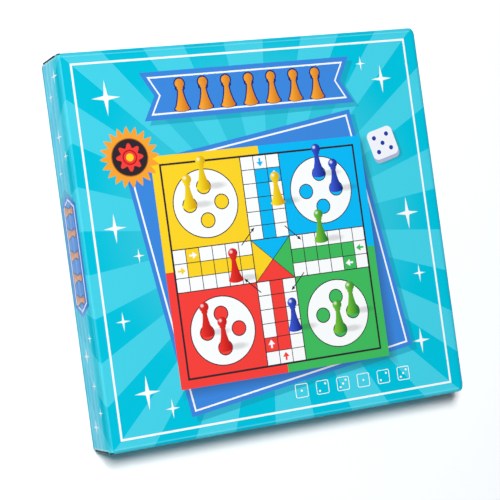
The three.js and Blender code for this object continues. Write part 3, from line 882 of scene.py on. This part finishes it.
TAB_DROP = 0.9
TAB_SHARES = (0.0, 0.25, 0.5, 0.7, 0.85, 0.95, 1.0)


def corner_tabs(paper):
    """The cover's two round fore corners: they reach past the fold as far as its bulge does."""
    mesh = bmesh.new()
    sines = [math.sin(math.radians(angle)) for angle in steps(0, 88, 8)]
    floor = LID_TOP - CARD
    for side in (-1, 1):
        outer = []
        for sine in sines:
            x = LID_HIGH_X + (CORNER_REACH - LID_HIGH_X) * sine
            reach = lid_reach(x)
            row = []
            for share in TAB_SHARES:
                y = FORE_HALF + (reach - FORE_HALF) * share
                top = LID_TOP - TAB_DROP * sine ** 2 - crush(y / reach * CASE_HALF_Y)
                row.append((x, side * y, max(floor + 0.2, top)))
            outer.append(row)
        sheet_into(mesh, outer, [[(x, y, floor) for x, y, _ in row] for row in outer])
    tabs = finished("lid_corner_tabs", mesh, paper)
    places = [vertex.co / MM for vertex in tabs.data.vertices]
    mark_places(tabs, [(x - LID_HIGH_X, y, CARD if z < floor + 0.1 else 0.0) for x, y, z in places])
    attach(tabs, "lid")


PAWN_SIDES = 40
PAWN_TILT = 96.37
PAWN_AXIS_Z = 22.483


def arc(middle, height, wide, tall, angles):
    """Radius and height on an arc, whose angles start at its foot."""
    turns = [math.radians(angle) for angle in angles]
    return [(middle + wide * math.sin(turn), height - tall * math.cos(turn)) for turn in turns]


def pawn_profile():
    """Radius and height up the middle of a pawn that stands on its base."""
    skirt = [(6.2 + 3.5 * ((1 - share) ** 2 - 1), 2.15 + 16.2 * share) for share in steps(0.0, 1.0, 14)]
    rim = arc(6.45, 0.8, 0.8, 0.8, range(15, 91, 15)) + arc(6.85, 1.6, 0.4, 0.4, range(90, 181, 30))
    collar = arc(2.72, 19.32, 1.18, 0.9, range(0, 181, 20))
    neck = [(2.42, 20.32), (2.3, 20.6), (2.34, 20.95)]
    head = arc(0.0, 25.1, 4.6, 4.6, steps(31.0, 180.0, 18))
    return [(0.0, 0.0), (6.3, 0.0)] + rim + skirt + collar + neck + head


def turned_pawn(name, place, heading, plastic, node):
    """A pawn turned about its own axis and laid down on its rim and head."""
    rings = []
    mesh = bmesh.new()
    at = Matrix.Translation(Vector(place) * MM) @ spin(heading, "Z") @ spin(PAWN_TILT, "Y")
    for radius, height in pawn_profile():
        turns = [0.0] if radius < 0.001 else steps(0.0, math.tau, PAWN_SIDES)[:-1]
        points = [(radius * math.cos(turn), radius * math.sin(turn), height) for turn in turns]
        rings.append([mesh.verts.new(at @ (Vector(point) * MM)) for point in points])
    for low, high in zip(rings, rings[1:]):
        for side in range(PAWN_SIDES):
            corners = [ring[step % len(ring)] for ring, step in (
                (low, side), (low, side + 1), (high, side + 1), (high, side))]
            mesh.faces.new(list(dict.fromkeys(corners)))
    pawn = finished(name, mesh, plastic, smooth=60.0)
    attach(pawn, "tray")
    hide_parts(node)
    return pawn


# Where the first pawn of a row lies, the step to the next one, and their heading in degrees
PAWN_ROWS = {
    "yellow": ((-111.55, 110.8), (15.1, 0.0), -90),
    "blue": ((114.17, 103.55), (0.0, -15.1), 180),
    "green": ((106.92, -110.8), (-15.1, 0.0), 90),
    "red": ((-118.8, -103.55), (0.0, 15.1), 0),
}

# Where the pips of each count lie, and how the cube is turned about x and y to bring that face up
PIPS = {
    1: ((0, 0),),
    2: ((-1, -1), (1, 1)),
    3: ((-1, -1), (0, 0), (1, 1)),
    4: ((-1, -1), (-1, 1), (1, -1), (1, 1)),
    5: ((-1, -1), (-1, 1), (0, 0), (1, -1), (1, 1)),
    6: ((-1, -1), (-1, 0), (-1, 1), (1, -1), (1, 0), (1, 1)),
}
DIE_FACES = {1: (0, 0), 6: (180, 0), 2: (90, 0), 5: (-90, 0), 3: (0, 90), 4: (0, -90)}
DIE_PLACE = (-2.313, 0, 22.1)
DIE_TURN = 20
DIE_CELLS = 64


def moulded_die(plastic):
    """A cube with round edges and sunk pips: each face is a fine grid pressed to shape."""
    half, edge, pitch, radius, depth = 7.0, 1.6, 3.6, 1.3, 0.5
    rise = (radius ** 2 - depth ** 2) / (depth * 2)
    ball = rise + depth
    at = Matrix.Translation(Vector(DIE_PLACE) * MM) @ spin(DIE_TURN, "Z")
    mesh = bmesh.new()
    mark = mesh.verts.layers.float.new("pip_reach")
    for count, (about_x, about_y) in DIE_FACES.items():
        face = at @ spin(about_x, "X") @ spin(about_y, "Y")
        grid = []
        for u in steps(-half, half, DIE_CELLS):
            line = []
            for v in steps(-half, half, DIE_CELLS):
                point = Vector((u, v, half))
                core = Vector([max(edge - half, min(half - edge, part)) for part in point])
                point = core + (point - core).normalized() * edge
                reach = min(math.hypot(u - a * pitch, v - b * pitch) for a, b in PIPS[count])
                if reach < radius:
                    point.z -= math.sqrt(ball ** 2 - reach ** 2) - rise
                vertex = mesh.verts.new(face @ (point * MM))
                vertex[mark] = reach
                line.append(vertex)
            grid.append(line)
        fill(mesh, grid)
    bmesh.ops.remove_doubles(mesh, verts=mesh.verts, dist=MERGE)
    cube = finished("rounded_die", mesh, plastic, smooth=35.0)
    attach(cube, "tray")
    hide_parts("die")


def moulded_insert(paper):
    """The insert with the soft edges of pressed card."""
    mesh = copied("insert_tray")
    bmesh.ops.dissolve_limit(mesh, angle_limit=math.radians(0.6), verts=mesh.verts, edges=mesh.edges)
    many_sided = [face for face in mesh.faces if len(face.verts) > 4]
    bmesh.ops.triangulate(mesh, faces=many_sided, ngon_method="EAR_CLIP")
    sharp = [edge for edge in mesh.edges if edge.is_manifold and edge.calc_face_angle(0.0) > math.radians(40)]
    bmesh.ops.bevel(mesh, geom=sharp, offset=0.35 * MM, offset_type="OFFSET", segments=3, profile=0.5,
                    affect="EDGES", clamp_overlap=True)
    tray = finished("pressed_insert", mesh, paper, smooth=25.0)
    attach(tray, "tray")
    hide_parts("insert_tray")


# Materials of the card

def flute_waves(across):
    """The washboard that shows through the print: the flutes and a slower unevenness of the lay."""
    flutes = sine(across * (math.tau / FLUTE_PITCH)) * 0.35
    return flutes + sine(across * (math.tau / 6.7) + 0.6) * 0.5


def cut_edge(depth, along, fluted=True):
    """The raw edge of the card: two brown liners and the paper wave between them, with painted shade in the
    hollows of the flutes.
    """
    web = depth.web
    if fluted:
        wave = sine(along * (math.tau / FLUTE_PITCH)) * 0.5 + 0.8
    else:
        wave = sine(along * 0.21) * 0.22 + 0.8
    paper = smallest(abs(depth - wave) - 0.14, depth - 0.32, 1.28 - depth)
    return web.mix(within(paper, 0.08), FLUTE_SHADE, KRAFT)


def liner(web, point):
    """Bare brown liner with its fibres."""
    fibre = web.noise(point, 0.9, 4.0, 0.7)
    blotch = web.noise(point, 0.05, 2.0)
    return web.mix(fibre * 0.5 + blotch * 0.3, tint(186, 165, 139), tint(142, 120, 96))


def card_skin(web, point, depth, along, printed, waves, fluted=True, end=None,
              gloss=1.25, rough=0.2, coat=0.02):
    """Card from all sides: print outside, bare liner inside, and the raw cut between them; an end mask
    darkens it to the flutes' brown, as raw edge and painted shade together.
    """
    grain = web.noise(point, 1.6, 3.0, 0.6)
    raw = within(0.22 - depth, 0.05)
    inner = web.mix(raw, printed, cut_edge(depth, along, fluted))
    colour = web.mix(within(1.4 - depth, 0.05), inner, liner(web, point))
    # The end mask darkens towards FLUTE_SHADE: raw edge and painted shade together.
    if end is not None:
        colour = web.mix(end, colour, FLUTE_SHADE)
    roughness = choose(raw, 0.85, grain * 0.06 + rough)
    height = waves * 0.55 + grain * 0.1
    return web.surface(colour, roughness, height, 0.35, 0.00016, IOR=gloss, Coat_Weight=coat,
                       Coat_Roughness=0.15)


def lid_material():
    """The cover's printed sheet, whose long edges are pressed down, with a painted highlight line and a band
    of painted shade along them.
    """
    web, point, x, y, z = on_part("printed_cover_card")
    pressed = ramp(abs(y), 1 / CRUSH_WIDTH, 1 - CASE_HALF_Y / CRUSH_WIDTH)
    depth = LID_TOP - pressed * pressed * CRUSH_DEPTH - z
    # Along the long edges: a thin pale line of painted highlight, and a darker teal band of painted shade
    # where the pressed edges turn down.
    colour = coats(cover_print(x - PRINT_SHIFT, y), (band(abs(y), 130.5, 0.3, 0.5) * 0.1, WHITE),
                   (within(131.4 - abs(y), 0.9) * 0.24, DEEP_TEAL))
    return card_skin(web, point, depth * 2.2 - 0.3, x, colour, flute_waves(x) * 0.25)


def liner_material():
    """The brown sheet inside the card."""
    web, point, x, *_ = on_part("cover_lining")
    fibre = web.noise(point, 0.9, 4.0, 0.7)
    return web.surface(liner(web, point), 0.82 + fibre * 0.12, fibre + flute_waves(x) * 0.4, 0.3, 0.0001)


def wave_material():
    """The fluted paper between the sheets."""
    web, point, *_ = on_part("fluted_paper")
    fibre = web.noise(point, 1.5, 4.0, 0.7)
    colour = web.mix(fibre, tint(168, 144, 116), tint(128, 106, 84))
    return web.surface(colour, 0.85 + fibre * 0.1, fibre, 0.3, 0.0001)


def fore_edge_print(down, v):
    """The cover's rays where they turn over its fore edge, in the shade of the bend."""
    web = v.web
    turned_over = ramp(down, 0.4, -0.4)
    underside = ramp(down, 1.2, -3.4)
    colour = web.mix(turned_over * 0.4, sunburst(down + LID_HIGH_X - PRINT_SHIFT, v), DEEP_TEAL)
    return web.mix(underside * 0.6, colour, DEEP_TEAL)


def crease_material(name, printed, wear_and_highlight, half=None, **finish):
    """A bend of printed card that carries its own place on the print, paled along the fold by wear and a
    painted highlight.
    """
    web, point, *_ = on_part(name)
    mark = web.node("ShaderNodeAttribute", {"attribute_name": "fold_place"}, out=1)
    down, along, depth = web.split(mark)
    rub = web.noise(web.join(down * 0.6, along * 0.05, 0.0), 1.0, 3.0, 0.6)
    # Wear and a painted highlight pale the print along the fold.
    wear_and_highlight_mask = band(down, 1.3, 0.4, 1.4) * (rub * 0.6 + 0.2) * wear_and_highlight
    colour = web.mix(wear_and_highlight_mask, printed(down, along), WHITE)
    # The ends of the fold darken as raw edge and painted shade together.
    end = None if half is None else within(half - 0.9 - abs(along), 0.2)
    return card_skin(web, point, depth, along, colour, 0.0, end=end, **finish)


def bend_depth(reach, height):
    """How deep a point lies under the outside of a wall that bends up from the floor."""
    return BEND - length(largest(reach + BEND, 0.0), largest(BEND - height, 0.0))


CROWN_LOW, CROWN_FADE = 28.8, 4.0
RIPPLED_TO, RIPPLED_FADE = 26.0, 6.0
SHADED_TO, SHADED_FADE = 4.6, 1.5


def spine_material():
    """The spine's print with painted light: a painted reflection pales its lower fluted part, painted
    highlights lie on the ridges and painted shade in the troughs, painted shade darkens the foot, the top
    band takes less painted light, and the corners are paler.
    """
    web, point, x, y, z = on_part("printed_spine_card")
    span = SPINE_TOP - LEAN_FROM
    lean = ramp(z, 1 / span, -LEAN_FROM / span)
    depth = bend_depth(-CASE_HALF_X - x, z) - lean * lean * SPINE_LEAN - WASHBOARD * 2.0
    top = ramp(z, 1 / CROWN_FADE, -CROWN_LOW / CROWN_FADE)
    foot = within(z - SHADED_TO, SHADED_FADE)
    low = within(z - RIPPLED_TO, RIPPLED_FADE)
    ridge = sine(z * (math.tau / SPINE_FLUTE) + SPINE_FLUTE_PHASE) * -0.5 + 0.5
    # The top band takes less of the painted light, as painted shade.
    printed = spine_print(SPINE_PRINT_TOP - z, y, 0.33 - top * 0.27)
    # Painted reflection pales the lower fluted part, with painted highlights on its ridges and painted shade
    # in its troughs; a white band makes the corners paler; painted shade darkens the foot.
    printed = coats(
        printed, (low * 0.16, tint(170, 222, 255)), (ridge * low * 0.08, WHITE),
        ((1.0 - ridge) * low * 0.1, tint(30, 120, 200)), (band(abs(y), 131.0, 0.3, 1.2) * 0.4, WHITE),
        (foot * 0.45, DEEP_TEAL))
    return card_skin(web, point, depth, z, printed, 0.0, gloss=1.01, coat=0.32 - (top + foot) * 0.3)


def fore_material():
    """The wall that the lid tucks in behind: its print runs on from the cover."""
    web, point, x, y, z = on_part("printed_fore_card")
    colour = sunburst(FORE_RAYS_FROM - (LID_TOP - z), y)
    colour = sparkles(colour, LID_TOP - z, y, SPINE_SPARKLES)
    return card_skin(web, point, bend_depth(x - CASE_HALF_X, z), z, colour, flute_waves(z))


CRUSHED_END_X = -133.7
SIDE_SPARKLES = ((-112, 18, 5, 5), (-94, 26, 3, 3), (70, 22, 5, 5), (112, 16, 4, 4), (-20, 24, 4, 4))


def side_material(name, side):
    """An outer ply of a side wall: its flutes stand upright."""
    web, point, x, y, z = on_part(name)
    colour = sunburst(x - PRINT_SHIFT, (CASE_HALF_Y - (LID_TOP - z)) * side)
    colour = sparkles(colour, x, LID_TOP - z, SIDE_SPARKLES)
    # The crushed end darkens as raw edge and painted shade together.
    end = within(x - CRUSHED_END_X, 0.3) * 0.7
    depth = bend_depth(y * side - CASE_HALF_Y, z)
    return card_skin(web, point, depth, z, colour, flute_waves(x) * 0.6, False, end)


ROLL_BEND_Z = 35.7
ROLL_INNER_Y, ROLL_OUTER_Y = 130.0, 130.6
INNER_PLY_Y = 127.6
ROLL_TOP = 38.1


def rolled_material(name, side):
    """The rolled top and inner ply: the print turns over with the card and faces into the case."""
    web, point, x, y, z = on_part(name)
    reach = y * side
    sideways = smallest(reach - ROLL_INNER_Y, 0.0) + largest(reach - ROLL_OUTER_Y, 0.0)
    crown = BEND - length(sideways, largest(z - ROLL_BEND_Z, 0.0))
    wall = smallest(largest(reach - INNER_PLY_Y, 0.0), CASE_HALF_Y - reach, ROLL_TOP - z)
    depth = choose(z > ROLL_BEND_Z, crown, wall)
    return card_skin(web, point, depth, x, sunburst(x - PRINT_SHIFT, reach), flute_waves(x) * 0.6, False)


EAR_HALF_Y, TUCK_EAR_HALF_Y = 131.1, 126.4
EAR_RAYS_FROM = 90.5
FORE_RAYS_FROM = 131.3
FLAP_RAYS_FROM = 131.0


def ear_material(name, spine):
    """A corner ear between the plies: it carries on the end wall's print."""
    web, point, x, y, z = on_part(name)
    depth = smallest(CASE_HALF_X - abs(x), EAR_HALF_Y - abs(y))
    colour = spine_print(SPINE_PRINT_TOP - z, y) if spine else sunburst(EAR_RAYS_FROM + z, y)
    colour = web.mix(band(abs(y), 130.4, 0.4, 1.6) * 0.6, colour, WHITE)
    return card_skin(web, point, depth, z, colour, flute_waves(z) * 0.3)


def flap_material(name, ear):
    """The tuck flap and its ears, in the flap's own leaning frame."""
    web, point, x, y, z = on_part(name)
    out, up = x - FLAP_HINGE[0], z - FLAP_HINGE[1]
    across = out * math.cos(FLAP_LEAN) - up * math.sin(FLAP_LEAN)
    down = out * math.sin(FLAP_LEAN) + up * math.cos(FLAP_LEAN)
    depth, along = (TUCK_EAR_HALF_Y - abs(y), across) if ear else (-across, down)
    return card_skin(web, point, depth, along, sunburst(FLAP_RAYS_FROM + down, y), flute_waves(along))


BASE_KEYLINE = 236.0


def base_material():
    """The outside of the base: the rays and a keyline."""
    web, point, x, y, z = on_part("printed_base_card")
    colour = web.mix(band(largest(abs(x), abs(y)), BASE_KEYLINE / 2, 0.85), sunburst(x, y), WHITE)
    return card_skin(web, point, z, x, colour, flute_waves(x))


# Other materials


def white_card_material():
    """The insert's plain board."""
    web, point, *_ = on_part("insert_white_card")
    fibre = web.noise(point, 1.2, 4.0, 0.65)
    blotch = web.noise(point, 0.03, 2.0)
    colour = web.mix(fibre * 0.35 + blotch * 0.35, tint(246, 245, 240), tint(226, 224, 216))
    return web.surface(colour, 0.62 + fibre * 0.12, fibre, 0.3, 0.00012)


def paper_material():
    """The leaflet's thin paper."""
    web, point, *_ = on_part("leaflet_paper")
    fibre = web.noise(point, 2.2, 5.0, 0.7)
    colour = web.mix(fibre * 0.4, tint(250, 250, 247), tint(232, 231, 226))
    return web.surface(colour, 0.7 + fibre * 0.1, fibre, 0.25, 0.00006)


def board_material():
    """Wrapped greyboard: blue paper with a fine linen emboss."""
    web, point, x, y, _ = on_part("board_wrap_paper")
    linen = sine(x * 8.0) * sine(y * 8.0)
    patch = web.noise(point, 0.4, 3.0)
    colour = web.mix(linen * 0.12 + patch * 0.3, tint(34, 96, 178), tint(24, 72, 146))
    return web.surface(colour, 0.5 + patch * 0.1, linen, 0.2, 0.00006)


def cloth_material():
    """The woven tape of the board's hinges."""
    web, _, x, y, z = on_part("hinge_cloth")
    weave = sine((x + z) * 9.0) * sine((y + z) * 9.0) * 0.5 + 0.5
    colour = web.mix(weave, tint(20, 22, 34), tint(48, 54, 76))
    return web.surface(colour, 0.85 + weave * 0.1, weave, 0.5, 0.00012)


def moulded(web, colour, roughness, flow):
    """The glossy surface of moulded plastic, with faint flow marks."""
    return web.surface(colour, roughness, flow, 0.1, 0.0002, Coat_Weight=0.4, Coat_Roughness=0.08)


def plastic_material(name, light, dark):
    """A pawn's plastic, a little uneven in its colour."""
    web, point, *_ = on_part(name)
    flow = web.noise(point, 0.12, 3.0, 0.6)
    speck = web.noise(point, 3.0, 2.0)
    return moulded(web, web.mix(flow, light, dark), 0.16 + speck * 0.1, flow)


def die_material():
    """White plastic with blue paint in the sunk pips."""
    web, point, *_ = on_part("die_plastic")
    reach = web.node("ShaderNodeAttribute", {"attribute_name": "pip_reach"}, out=2)
    flow = web.noise(point, 0.2, 3.0, 0.6)
    body = web.mix(flow, tint(250, 250, 248), tint(238, 239, 240))
    return moulded(web, web.mix(within(reach - 1.26, 0.1), body, tint(30, 42, 150)), 0.18 + flow * 0.1, flow)


def give(names, material):
    """Gives CAD nodes a finished material."""
    for name in names:
        mesh = nodes[name].data
        mesh.materials.clear()
        mesh.materials.append(material)


def dress_card():
    """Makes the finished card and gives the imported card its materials."""
    lid_card(lid_material(), liner_material(), wave_material())
    fore_edge = crease_material("fore_crease_card", fore_edge_print, 0.0, gloss=1.1, rough=0.45)
    make_creases(crease_material("spine_crease_card", spine_print, 0.15, CASE_HALF_Y, gloss=1.12), fore_edge)
    corner_tabs(fore_edge)
    washboard_spine(spine_material())
    give(["fore_wall"], fore_material())
    for end, side in (("head", 1), ("tail", -1)):
        side_ply(end, side, side_material(f"printed_{end}_card", side))
        give([f"{end}_wall_rolled"], rolled_material(f"printed_{end}_roll", side))
    spine_ears(ear_material("printed_spine_ear", True))
    give(["fore_ear_head", "fore_ear_tail"], ear_material("printed_fore_ear", False))
    give(["tuck_flap"], flap_material("printed_flap_card", False))
    give(["tuck_ear_head", "tuck_ear_tail"], flap_material("printed_tuck_ear_card", True))
    give(["tray_floor"], base_material())
    moulded_insert(white_card_material())
    give(["rules_leaflet"], paper_material())
    give([f"board_leaf_{number}" for number in (1, 2, 3, 4)], board_material())
    give([f"board_hinge_{number}" for number in (1, 2, 3)], cloth_material())


PAWN_PLASTICS = {
    "yellow": (tint(255, 218, 32), tint(246, 190, 10)),
    "blue": (tint(40, 78, 190), tint(24, 52, 150)),
    "green": (tint(52, 172, 70), tint(32, 138, 52)),
    "red": (tint(226, 44, 36), tint(186, 24, 22)),
}


def dress_pieces():
    """Makes the sixteen pawns and the die."""
    for colour, (light, dark) in PAWN_PLASTICS.items():
        plastic = plastic_material(f"{colour}_pawn_plastic", light, dark)
        first, step, heading = PAWN_ROWS[colour]
        for number in range(4):
            pawn_name = f"pawn_{colour}_{number + 1}"
            place = (first[0] + step[0] * number, first[1] + step[1] * number, PAWN_AXIS_Z)
            pawn = turned_pawn(f"turned_{pawn_name}", place, heading, plastic, pawn_name)
    moulded_die(die_material())


# The studio

FLOOR_SIZE = 8
FLOOR_Z = -0.0004
FLOOR_TONE, FLOOR_GAIN = 0.9, 1.12
FLOOR_FADE = (0.6, 0.5)
SCREEN_TOP, SCREEN_RADIUS = 2.0, 3.9
AIR = 0.1
AIR_TINT = (0.68, 0.97, 1.14, 1)
LAMP_PLACE, LAMP_SIZE, LAMP_POWER = (-0.825, 0.585, 2.4), (0.63, 0.38), 64.5


def seen_white(web):
    """One for the rays of the camera and of reflections, and nought for the rest."""
    path = web.node("ShaderNodeLightPath")
    outs = path.socket.node.outputs
    return largest(path, Value(web, outs["Is Glossy Ray"]), Value(web, outs["Is Transmission Ray"]))


def floor_paper():
    """Pale paper that takes a shadow, and glows white to the eye far from the object."""
    web = Web("studio_paper")
    seen = seen_white(web)
    pale = web.mix(seen, (*[FLOOR_TONE] * 3, 1), (*[FLOOR_GAIN] * 3, 1))
    matte = web.node("ShaderNodeBsdfDiffuse", links={"Color": pale})
    where = web.node("ShaderNodeTexCoord", out=3)
    away = web.node("ShaderNodeVectorMath", {"operation": "LENGTH"}, {0: where}, 1)
    far = within(FLOOR_FADE[0] - away, FLOOR_FADE[1]) * seen
    glow = web.node("ShaderNodeEmission", links={"Strength": 1.0})
    shown = web.node("ShaderNodeMixShader", links={0: far, 1: matte, 2: glow})
    web.node("ShaderNodeOutputMaterial", links={"Surface": shown})
    return web.material


def screen_paper():
    """White to the eye, and as dim as the air to everything else."""
    web = Web("studio_screen_paper")
    white = web.node("ShaderNodeEmission", links={"Strength": seen_white(web) * (1 - AIR) + AIR})
    web.node("ShaderNodeOutputMaterial", links={"Surface": white})
    return web.material


def studio():
    """A pale floor that carries the shadow, a white screen far round it, and one soft lamp."""
    bpy.ops.mesh.primitive_plane_add(size=FLOOR_SIZE, location=(0, 0, FLOOR_Z))
    floor = bpy.context.object
    floor.name = "studio_floor"
    floor.data.materials.append(floor_paper())
    bpy.ops.mesh.primitive_cylinder_add(vertices=96, radius=SCREEN_RADIUS, depth=SCREEN_TOP,
                                        end_fill_type="NOTHING", location=(0, 0, SCREEN_TOP / 2))
    screen = bpy.context.object
    screen.name = "studio_screen"
    screen.data.materials.append(screen_paper())
    world = bpy.data.worlds.new("studio_air")
    bpy.context.scene.world = world
    world.use_nodes = True
    back = next(node for node in world.node_tree.nodes if node.type == "BACKGROUND")
    back.inputs["Color"].default_value = AIR_TINT
    back.inputs["Strength"].default_value = AIR
    soft_box("key_lamp", LAMP_PLACE, (0, 0, 0), LAMP_SIZE, LAMP_POWER)
    bpy.context.scene.view_settings.view_transform = "Standard"


photo_camera()
studio()
dress_card()
dress_pieces()
